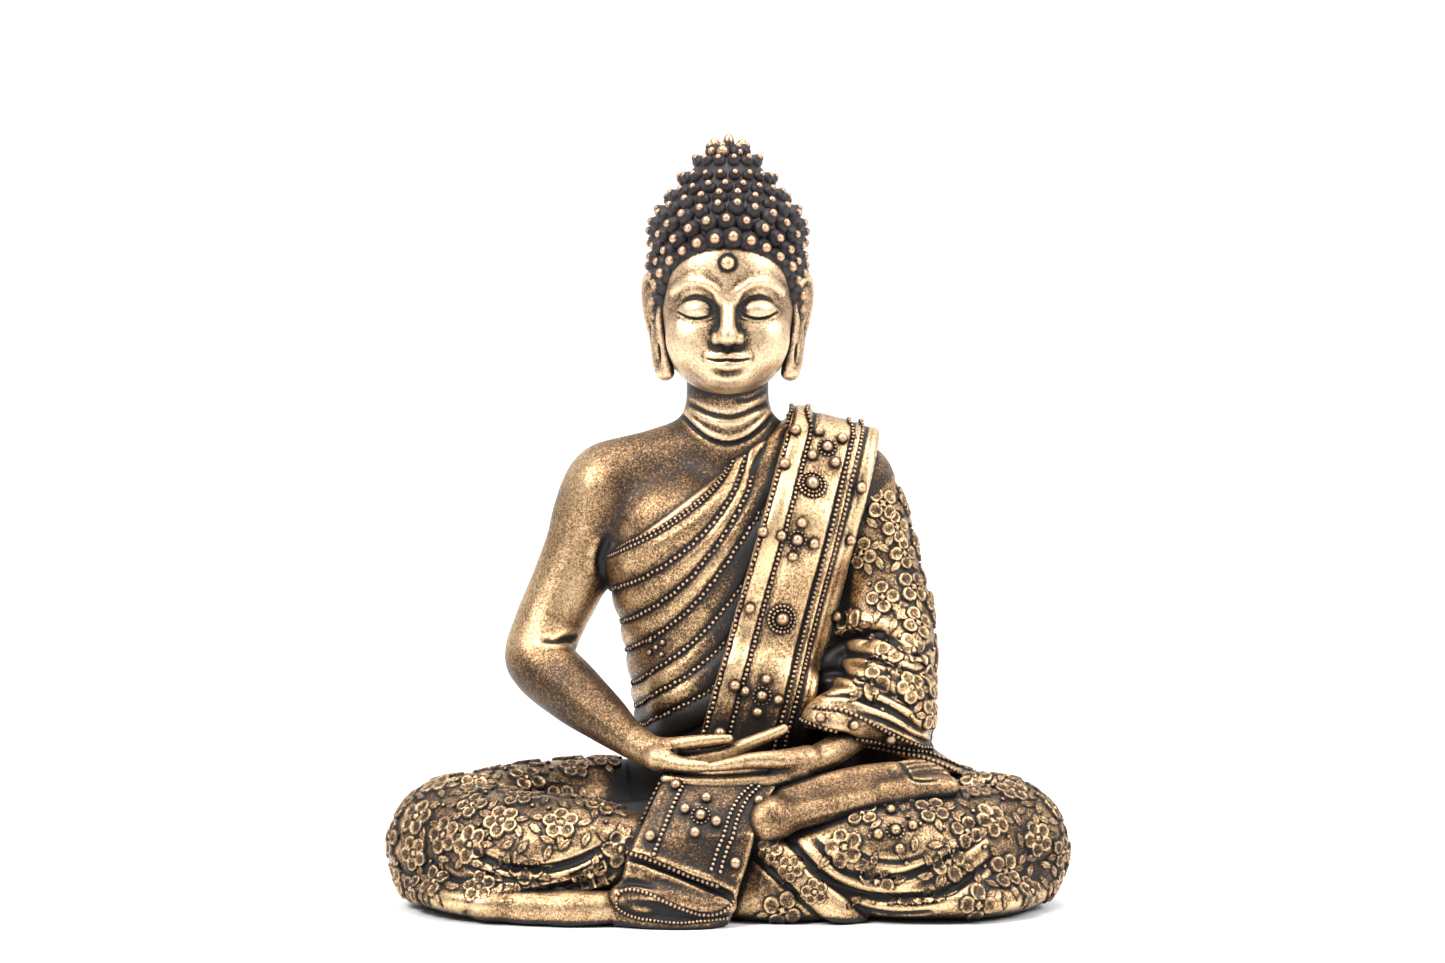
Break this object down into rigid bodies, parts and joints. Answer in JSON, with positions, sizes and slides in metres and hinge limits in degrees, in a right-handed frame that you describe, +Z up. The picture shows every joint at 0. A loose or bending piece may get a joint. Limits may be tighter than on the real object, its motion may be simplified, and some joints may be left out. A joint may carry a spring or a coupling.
{
  "type": "seated buddha statue",
  "caption": "Tabletop statue of a seated figure in meditation, in a beaded and flowered robe, with its hands laid together in the lap.",
  "frame": {"origin": "middle of the footprint on the surface that the statue stands on", "axes": "+Z up; -Y is the figure's front; +X is the viewer's right when its front is seen, which is the figure's left"},
  "size_m": [0.262, 0.148, 0.3],
  "materials": {
    "skin_gold": "metal-flake bronze paint over black, rubbed brown and gold",
    "robe_gold": "metal-flake bronze paint, raised parts rubbed bright, folds left black",
    "bright_gold": "metal-flake gold paint, satin",
    "bead_gold": "metal-flake gold paint, satin",
    "dark_hair": "near-black brown, matte",
    "curl_gold": "near-black with rubbed gold tips",
    "felt": "black felt",
    "base_board": "unpainted fibre board",
    "plug": "black rubber",
    "plaster": "unpainted plaster fill",
    "steel": "bright drawn wire"
  },
  "bodies": {
    "root": {"apron": "robe_gold", "apron_beads": "bead_gold", "apron_studs": "bead_gold", "ballast": "plaster", "base_plate": "base_board", "chest_beads": "bead_gold", "chest_robe": "robe_gold", "crown_bun": "dark_hair", "crown_curls": "curl_gold", "felt_pad": "felt", "filler_plug": "plug", "forehead_jewel": "bright_gold", "hair_cap": "dark_hair", "hair_curls": "curl_gold", "head": "skin_gold", "head_pin": "steel", "left_arm_pin": "steel", "left_ear": "skin_gold", "left_foot": "bright_gold", "left_hand": "bright_gold", "left_leg": "robe_gold", "left_leg_flowers": "robe_gold", "left_sleeve": "robe_gold", "neck": "skin_gold", "neck_pin": "steel", "right_arm": "skin_gold", "right_arm_pin": "steel", "right_ear": "skin_gold", "right_foot": "bright_gold", "right_hand": "bright_gold", "right_leg": "robe_gold", "right_leg_flowers": "robe_gold", "seat_casting": "robe_gold", "seat_pin_left": "steel", "seat_pin_right": "steel", "shoulder_stole": "robe_gold", "sleeve_beads": "bead_gold", "sleeve_flowers": "robe_gold", "stole_beads": "bead_gold", "stole_studs": "bead_gold", "torso_casting": "skin_gold"}
  },
  "joints": []
}
